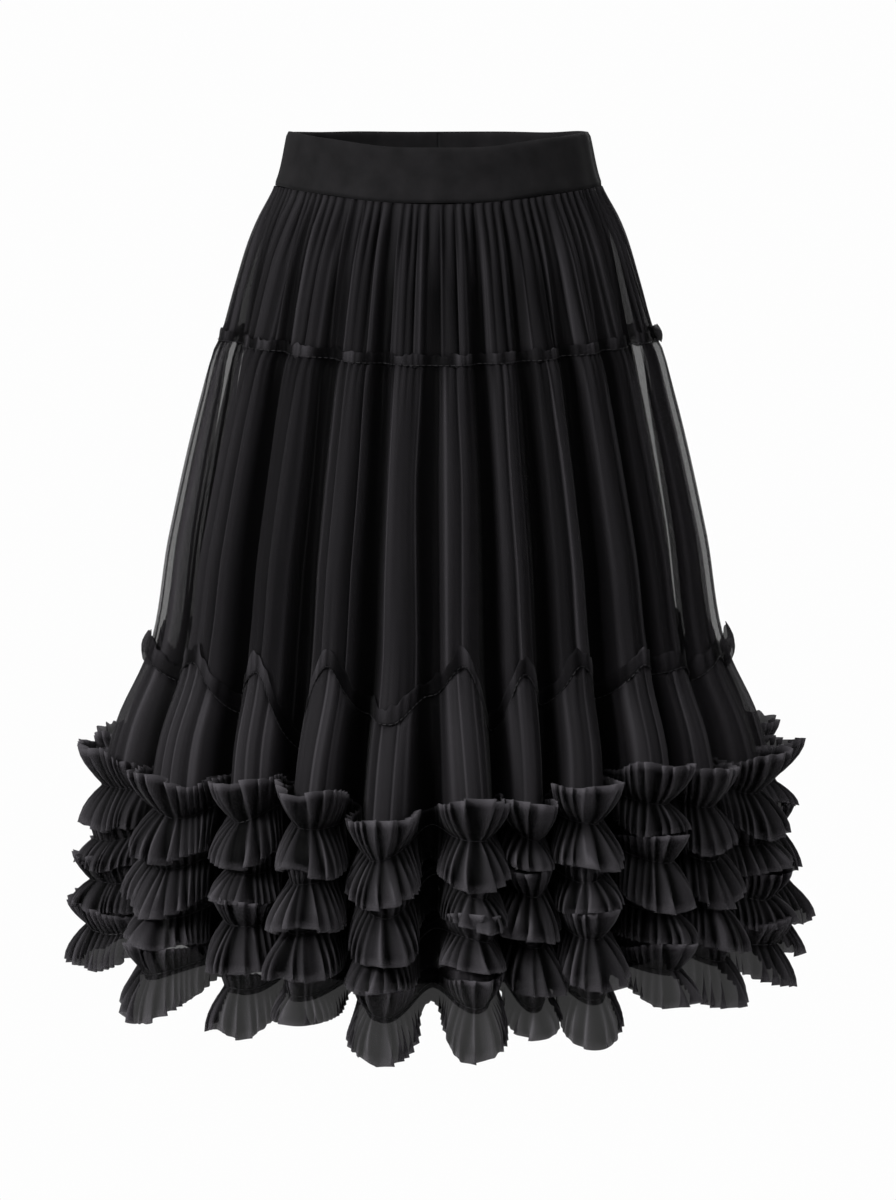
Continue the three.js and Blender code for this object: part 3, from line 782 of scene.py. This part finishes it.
def ruffle_tier_point(degrees, level, extra_inset=0.0):
    """Points of the tier, pinched in at each stitched line and finely creased all over."""
    on_crest = 1 - eased(fold_facts(degrees)["to_valley"])
    pinch = sum(np.exp(-((level - sewn_line(degrees, row)) / PINCH_HEIGHT) ** 2)
                for row in range(len(RUFFLE_LINES)))
    pinch = np.minimum(1, pinch)
    fine = TIER_FINE_GATHERS * gathers(degrees, count=150, seed=61) + PINCH_DEPTH * pinch * on_crest
    breadth = CREST_BREADTH + TIER_BREADTH - PINCH_SIDES * pinch
    return hanging_cloth(degrees, level, fine + extra_inset, breadth)


def ruffle_tier_piece(side, first, last):
    degrees = even_places(first, last, TIER_COLUMNS, TIER_MIDDLE)[None, :]
    share = np.linspace(0, 1, TIER_ROWS)[:, None]
    top = lower_seam(degrees) - EDGE_GAP
    bottom = sewn_line(degrees, HEM_ROW) - HEM_ALLOWANCE
    level = mix(top, bottom, share)
    near_seam = np.exp(-(top - level) / TIER_TOP_FALL)
    top_gathers = gathers(degrees, count=128, seed=62)
    points = ruffle_tier_point(degrees, level, near_seam * TIER_TOP_GATHERS * top_gathers)
    painted_panel_light, edge = painted_fold_light(degrees, seed=63)
    across, lightness = overlapping_folds(degrees, TIER_FOLDS, seed=64)
    # Painted shade: darker between folds, towards where the next fold covers a fold and in the gathers just
    # below the lower seam; painted highlights along the folds' leading and turned-in edges.
    raised = painted_panel_light * mix(0.55, 1, lightness) * (1 - 0.6 * across)
    raised = raised * (1 - 0.7 * near_seam * top_gathers)
    edges = np.maximum(edge, (0.3 + 0.6 * lightness) * (across < TIER_LEADING_HIGHLIGHT_BREADTH) * painted_panel_light)
    cloth_piece(f"ruffle_tier_{side}_net", points, NET_THICKNESS, tier_net, [f"ruffle_tier_{side}"],
                edges, raised)


tier_net = net_material("tier_tulle", NET_DARK, (0.0500, 0.0471, 0.0522), alpha=0.62, shine=0.03)
for half in HALVES:
    ruffle_tier_piece(**half)

# Double ruffles: four rows of net strips, each gathered along a stitched line and sewn on there, so
# that the part above the line stands up and the part below it falls, both in small uneven pleats.
RUFFLES = [
    {"up": 0.036, "up_out": 0.021, "down": 0.036, "down_out": 0.021, "valley_down": 0.8},
    {"up": 0.024, "up_out": 0.012, "down": 0.037, "down_out": 0.021, "valley_down": 0.8},
    {"up": 0.024, "up_out": 0.012, "down": 0.038, "down_out": 0.020, "valley_down": 0.8},
    {"up": 0.024, "up_out": 0.012, "down": 0.038, "down_out": 0.015, "valley_down": 0.5},
]
# At each crest, which of the lower three rows stand clear above their stitched lines (1) and which are
# pressed flat under the row above (0), and last the share of its full length that the hem ruffle has
CREST_RUFFLES = {
    -82: (0, 1, 1, 0.9), -54: (0, 0, 1, 1.0), -38: (0, 1, 0, 1.0), -21: (0, 0, 0, 0.6),
    -8: (0, 0, 1, 1.0), 5: (0, 1, 1, 1.05), 17: (1, 0, 0, 0.6), 28: (0, 1, 0, 1.0),
    43: (1, 0, 1, 0.7), 55: (0, 0, 0, 1.0), 71: (0, 1, 1, 0.9), 90: (1, 0, 0, 0.8),
    105: (0, 1, 0, 1.0), 119: (0, 0, 1, 0.7), 133: (1, 0, 0, 1.0), 147: (0, 1, 0, 0.7),
    160: (0, 0, 1, 1.05), 174: (0, 1, 0, 0.9), 187: (1, 0, 1, 0.65), 201: (0, 0, 0, 1.0),
    215: (0, 1, 0, 0.8), 230: (0, 0, 1, 1.05), 245: (1, 0, 0, 0.7), 260: (0, 1, 0, 1.0),
}
PRESSED_UP = 0.014
PRESSED_OUT = 0.003
PRESSED_PLEATS = 0.3
HEM_LENGTH_BETWEEN = 0.8
RUFFLE_GAP = 0.0008
PLEAT_WIDTH = 0.0066
PLEAT_DEPTH = 0.0052
PLEAT_LEAN = 1.15
PLEATS_TURN_EVERY = 0.10
SIDEWAYS_SPREAD = 0.85
RUFFLE_LAYERS = 11
RUFFLE_COLUMNS = 1300
SMOOTHED_OVER = 31
HEM_LENGTH_COLUMN = 3
PLEAT_TOPS_OUT = 0.0012
PLEAT_SHARPNESS = 1.4
# Painted highlights: on the pleat ridges, from this far up a pleat, and along the free cut edge, with how
# bright each is
RIDGE_STARTS = 0.93
PAINTED_RIDGE_HIGHLIGHT = 0.55
PAINTED_CUT_EDGE_HIGHLIGHT = 0.8


def crest_choice(facts, column, between):
    """A column of CREST_RUFFLES at each place, which eases to the between value in the valleys."""
    values = np.array([CREST_RUFFLES[fold["at"]][column] for fold in FOLDS], float)
    return mix(values[facts["nearest"]], between, eased(facts["to_valley"] ** CREST_BREADTH))


def stitched_places(degrees, row):
    """Where a row is sewn on: the points, the way along the cloth, the way out of it and the metres
    walked along it so far."""
    valley = eased(fold_facts(degrees)["to_valley"] ** CREST_BREADTH)
    base = ruffle_tier_point(degrees, sewn_line(degrees, row))
    along = np.gradient(base[:, :2], axis=0)
    walked = np.concatenate([[0], np.cumsum(np.linalg.norm(np.diff(base[:, :2], axis=0), axis=1))])
    along = along / np.linalg.norm(along, axis=1, keepdims=True)
    window = np.ones(SMOOTHED_OVER) / SMOOTHED_OVER
    beyond = SMOOTHED_OVER // 2
    padded = np.pad(along, ((beyond, beyond), (0, 0)), mode="edge")
    along = np.stack([np.convolve(padded[:, i], window, "valid") for i in (0, 1)], -1)
    along /= np.linalg.norm(along, axis=1, keepdims=True)
    wall_out = np.stack([along[:, 1], -along[:, 0]], -1)
    angle = np.radians(degrees)
    radial = np.stack([np.sin(angle), -np.cos(angle)], -1)
    lean = mix(radial, wall_out, (SIDEWAYS_SPREAD * (1 - valley) ** 0.6)[:, None])
    lean /= np.linalg.norm(lean, axis=1, keepdims=True)
    return base, along, lean, walked


def ruffle_piece(row, side, first, last):
    """One strip of a row: layers from its upper free edge, in to the stitched line and out to its lower
    free edge, each pushed out and sideways by pleats that lean one way and then the other."""
    size = RUFFLES[row]
    degrees = even_places(first, last, RUFFLE_COLUMNS, RUFFLE_LINES[row], 2.4)
    facts = fold_facts(degrees)
    valley = eased(facts["to_valley"] ** CREST_BREADTH)
    base, along, lean, walked = stitched_places(degrees, row)
    clear = crest_choice(facts, row - 1, 0) if row > 0 else 1.0
    row_below_clear = crest_choice(facts, row, 0) if row < HEM_ROW else 0.0
    up = mix(PRESSED_UP, size["up"], clear)
    up_out = mix(PRESSED_OUT, size["up_out"], clear)
    up_pleats = mix(PRESSED_PLEATS, 1.0, clear)
    down = size["down"] * (1 - 0.38 * row_below_clear)
    down_out = size["down_out"] * (1 - 0.2 * row_below_clear)
    if row == HEM_ROW:
        down = down * crest_choice(facts, HEM_LENGTH_COLUMN, HEM_LENGTH_BETWEEN)
    phase = 2 * np.pi * walked / PLEAT_WIDTH + 2.6 * uneven(degrees, waves=70, seed=70 + 2 * row)
    phase = phase + 1.3 * uneven(degrees, waves=170, seed=71 + 2 * row)
    strength = np.clip(0.95 + 0.4 * uneven(degrees, waves=110, seed=79 + row), 0.5, 1.3)
    turning = 2 * np.pi * walked / PLEATS_TURN_EVERY + row + uneven(degrees, waves=20, seed=85)
    pleats_lean = PLEAT_LEAN * np.tanh(2 * np.sin(turning))
    room = mix(1.0, 0.3, np.clip(facts["to_valley"] / 0.75, 0, 1))
    # Painted shade: the ruffles darken towards the valleys between folds.
    painted_crest_light = 1 - eased(np.clip((facts["to_valley"] - 0.5) / 0.35, 0, 1))
    rings = []
    edges = []
    painted_shades = []
    for share in np.linspace(1, -1, RUFFLE_LAYERS):
        rise = up if share > 0 else down
        out = up_out if share > 0 else down_out
        spread = abs(share)
        valley_share = 0.08 if share > 0 else 0.22
        valley_rise = 0.4 if share > 0 else size["valley_down"]
        flare = out * np.sin(spread * np.pi / 2) ** 0.9 * mix(1.0, valley_share, valley)
        flare = flare * (1 + 0.25 * uneven(degrees, waves=40, seed=80 + row))
        height = np.sign(share) * rise * spread * (1 + 0.10 * uneven(degrees, waves=60, seed=90 + row))
        height = height * mix(1.0, valley_rise, valley) + 0.0010 * spread * np.cos(phase)
        depth = PLEAT_DEPTH * strength * (0.15 + 0.85 * spread) * room * (up_pleats if share > 0 else 1.0)
        pleat = 1 - 2 * np.abs(np.sin((phase + 0.4 * share) / 2)) ** PLEAT_SHARPNESS
        lift = np.maximum(RUFFLE_GAP + PLEAT_TOPS_OUT + flare + depth * pleat, RUFFLE_GAP)
        slide = pleats_lean * spread * depth * pleat
        points = base.copy()
        points[:, :2] += lean * lift[:, None] + along * slide[:, None]
        points[:, 2] += height
        rings.append(points)
        # Painted highlights on the pleat ridges and along the free cut edge, dimmed in the valleys; painted
        # shade in the pleats' hollows, towards the stitched line and towards the valleys.
        painted_ridge_highlight = PAINTED_RIDGE_HIGHLIGHT * (pleat > RIDGE_STARTS) * (strength > 0.8) * (spread > 0.15)
        edges.append(np.maximum(painted_ridge_highlight, PAINTED_CUT_EDGE_HIGHLIGHT * float(spread > 0.99)) * mix(1.0, 0.2, valley))
        painted_pleat_light = np.clip(0.5 + 0.5 * pleat, 0, 1) ** 1.1
        tone = mix(0.55, painted_pleat_light, np.minimum(1, strength))
        painted_shades.append(tone * painted_crest_light * (0.35 + 0.65 * spread))
    cloth_piece(f"ruffle_{row + 1}_{side}_net", np.array(rings), NET_THICKNESS, ruffle_net,
                [f"ruffle_{row + 1}_{side}"],
                np.array(edges), np.array(painted_shades))


ruffle_net = net_material("ruffle_tulle", (0.0006, 0.0006, 0.0007), (0.0640, 0.0603, 0.0670), alpha=0.82,
                          shine=0.04)
for row in range(len(RUFFLES)):
    for half in HALVES:
        ruffle_piece(row, **half)

# Sewing: a running stitch of black thread holds each ruffle down along its line, and each of the two
# seams along the lower edge of its pressed strip.
STITCH_SPACING = 0.0052
STITCH_LENGTH = 0.0034
THREAD_RADIUS = 0.00028
THREAD_OVER_RUFFLE = 0.0021
THREAD_OVER_SEAM = 0.0016
RUFFLE_LINE_PLACES = 1400
YOKE_LINE_PLACES = 900
LOWER_LINE_PLACES = 1200


def thread_material():
    """Spun black thread, with a fine twist and a little more shine than the net."""
    material, nodes, links, shader = cloth_shader("black_thread", roughness=0.5, specular=0.2)
    places = nodes.new("ShaderNodeTexCoord")
    twist = nodes.new("ShaderNodeTexNoise")
    twist.inputs["Scale"].default_value = 900
    links.new(places.outputs["Object"], twist.inputs["Vector"])
    dye(nodes, links, shader, twist.outputs["Fac"], (0.004, 0.004, 0.0045), (0.020, 0.019, 0.021))
    return material


def stitch_nodes():
    """Short bars of thread, laid along a line at an even spacing, each a little different in length."""
    tree = bpy.data.node_groups.new("running_stitch", "GeometryNodeTree")
    tree.interface.new_socket("Line", in_out="INPUT", socket_type="NodeSocketGeometry")
    settings = {}
    kinds = {"Spacing": "Float", "Length": "Float", "Thread Radius": "Float", "Seed": "Int"}
    for word, kind in kinds.items():
        socket = tree.interface.new_socket(word, in_out="INPUT", socket_type="NodeSocket" + kind)
        settings[word] = socket.identifier
    tree.interface.new_socket("Stitches", in_out="OUTPUT", socket_type="NodeSocketGeometry")
    given = tree.nodes.new("NodeGroupInput")
    result = tree.nodes.new("NodeGroupOutput")
    line = tree.nodes.new("GeometryNodeMeshToCurve")
    spots = tree.nodes.new("GeometryNodeCurveToPoints")
    spots.mode = "LENGTH"
    bar = tree.nodes.new("GeometryNodeMeshCylinder")
    bar.inputs["Vertices"].default_value = 4
    chance = tree.nodes.new("FunctionNodeRandomValue")
    lowest, highest = [socket for socket in chance.inputs if socket.name in ("Min", "Max") and socket.enabled]
    lowest.default_value = 0.8
    highest.default_value = 1.15
    size = tree.nodes.new("ShaderNodeCombineXYZ")
    size.inputs["X"].default_value = 1
    size.inputs["Y"].default_value = 1
    laid = tree.nodes.new("GeometryNodeInstanceOnPoints")
    real = tree.nodes.new("GeometryNodeRealizeInstances")
    painted = tree.nodes.new("GeometryNodeSetMaterial")
    painted.inputs["Material"].default_value = thread
    links = tree.links
    links.new(given.outputs["Line"], line.inputs["Mesh"])
    links.new(line.outputs["Curve"], spots.inputs["Curve"])
    links.new(given.outputs["Spacing"], spots.inputs["Length"])
    links.new(given.outputs["Thread Radius"], bar.inputs["Radius"])
    links.new(given.outputs["Length"], bar.inputs["Depth"])
    links.new(given.outputs["Seed"], chance.inputs["Seed"])
    chance_value = [socket for socket in chance.outputs if socket.enabled][0]
    links.new(chance_value, size.inputs["Z"])
    links.new(spots.outputs["Points"], laid.inputs["Points"])
    links.new(spots.outputs["Rotation"], laid.inputs["Rotation"])
    links.new(bar.outputs["Mesh"], laid.inputs["Instance"])
    links.new(size.outputs["Vector"], laid.inputs["Scale"])
    links.new(laid.outputs["Instances"], real.inputs["Geometry"])
    links.new(real.outputs["Geometry"], painted.inputs["Geometry"])
    links.new(painted.outputs["Geometry"], result.inputs["Stitches"])
    return tree, settings


def stitched_line(name, points, seed):
    """A running stitch along a line of points, as one plain mesh."""
    mesh = bpy.data.meshes.new(name + "_line")
    mesh.from_pydata(points.tolist(), [(i, i + 1) for i in range(len(points) - 1)], [])
    line = bpy.data.objects.new(name + "_line", mesh)
    bpy.context.collection.objects.link(line)
    sewing = line.modifiers.new("sewing", "NODES")
    sewing.node_group = stitches
    sewing[stitch_settings["Spacing"]] = STITCH_SPACING
    sewing[stitch_settings["Length"]] = STITCH_LENGTH
    sewing[stitch_settings["Thread Radius"]] = THREAD_RADIUS
    sewing[stitch_settings["Seed"]] = seed
    sewn = line.evaluated_get(bpy.context.evaluated_depsgraph_get())
    piece = bpy.data.objects.new(name, bpy.data.meshes.new_from_object(sewn))
    bpy.data.objects.remove(line)
    bpy.context.collection.objects.link(piece)
    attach(piece, "root")


thread = thread_material()
stitches, stitch_settings = stitch_nodes()
for row in range(len(RUFFLES)):
    degrees = even_places(FRONT_STARTS, BACK_ENDS, RUFFLE_LINE_PLACES, RUFFLE_LINES[row])
    base, _, lean, _ = stitched_places(degrees, row)
    points = base + np.column_stack([lean * (RUFFLE_GAP + THREAD_OVER_RUFFLE), np.zeros(len(base))])
    stitched_line(f"ruffle_{row + 1}_stitches", points, seed=100 + row)
degrees = even_places(FRONT_STARTS, BACK_ENDS, YOKE_LINE_PLACES, YOKE_SEAM)
level = YOKE_SEAM - 0.35 * YOKE_ALLOWANCE + 0 * degrees
stitched_line("yoke_seam_stitches", hanging_cloth(degrees, level, -THREAD_OVER_SEAM), seed=110)
degrees = even_places(FRONT_STARTS, BACK_ENDS, LOWER_LINE_PLACES, LOWER_SEAM)
level = lower_seam(degrees) - 0.1 * LOWER_ALLOWANCE
stitched_line("lower_seam_stitches", hanging_cloth(degrees, level, -THREAD_OVER_SEAM), seed=111)
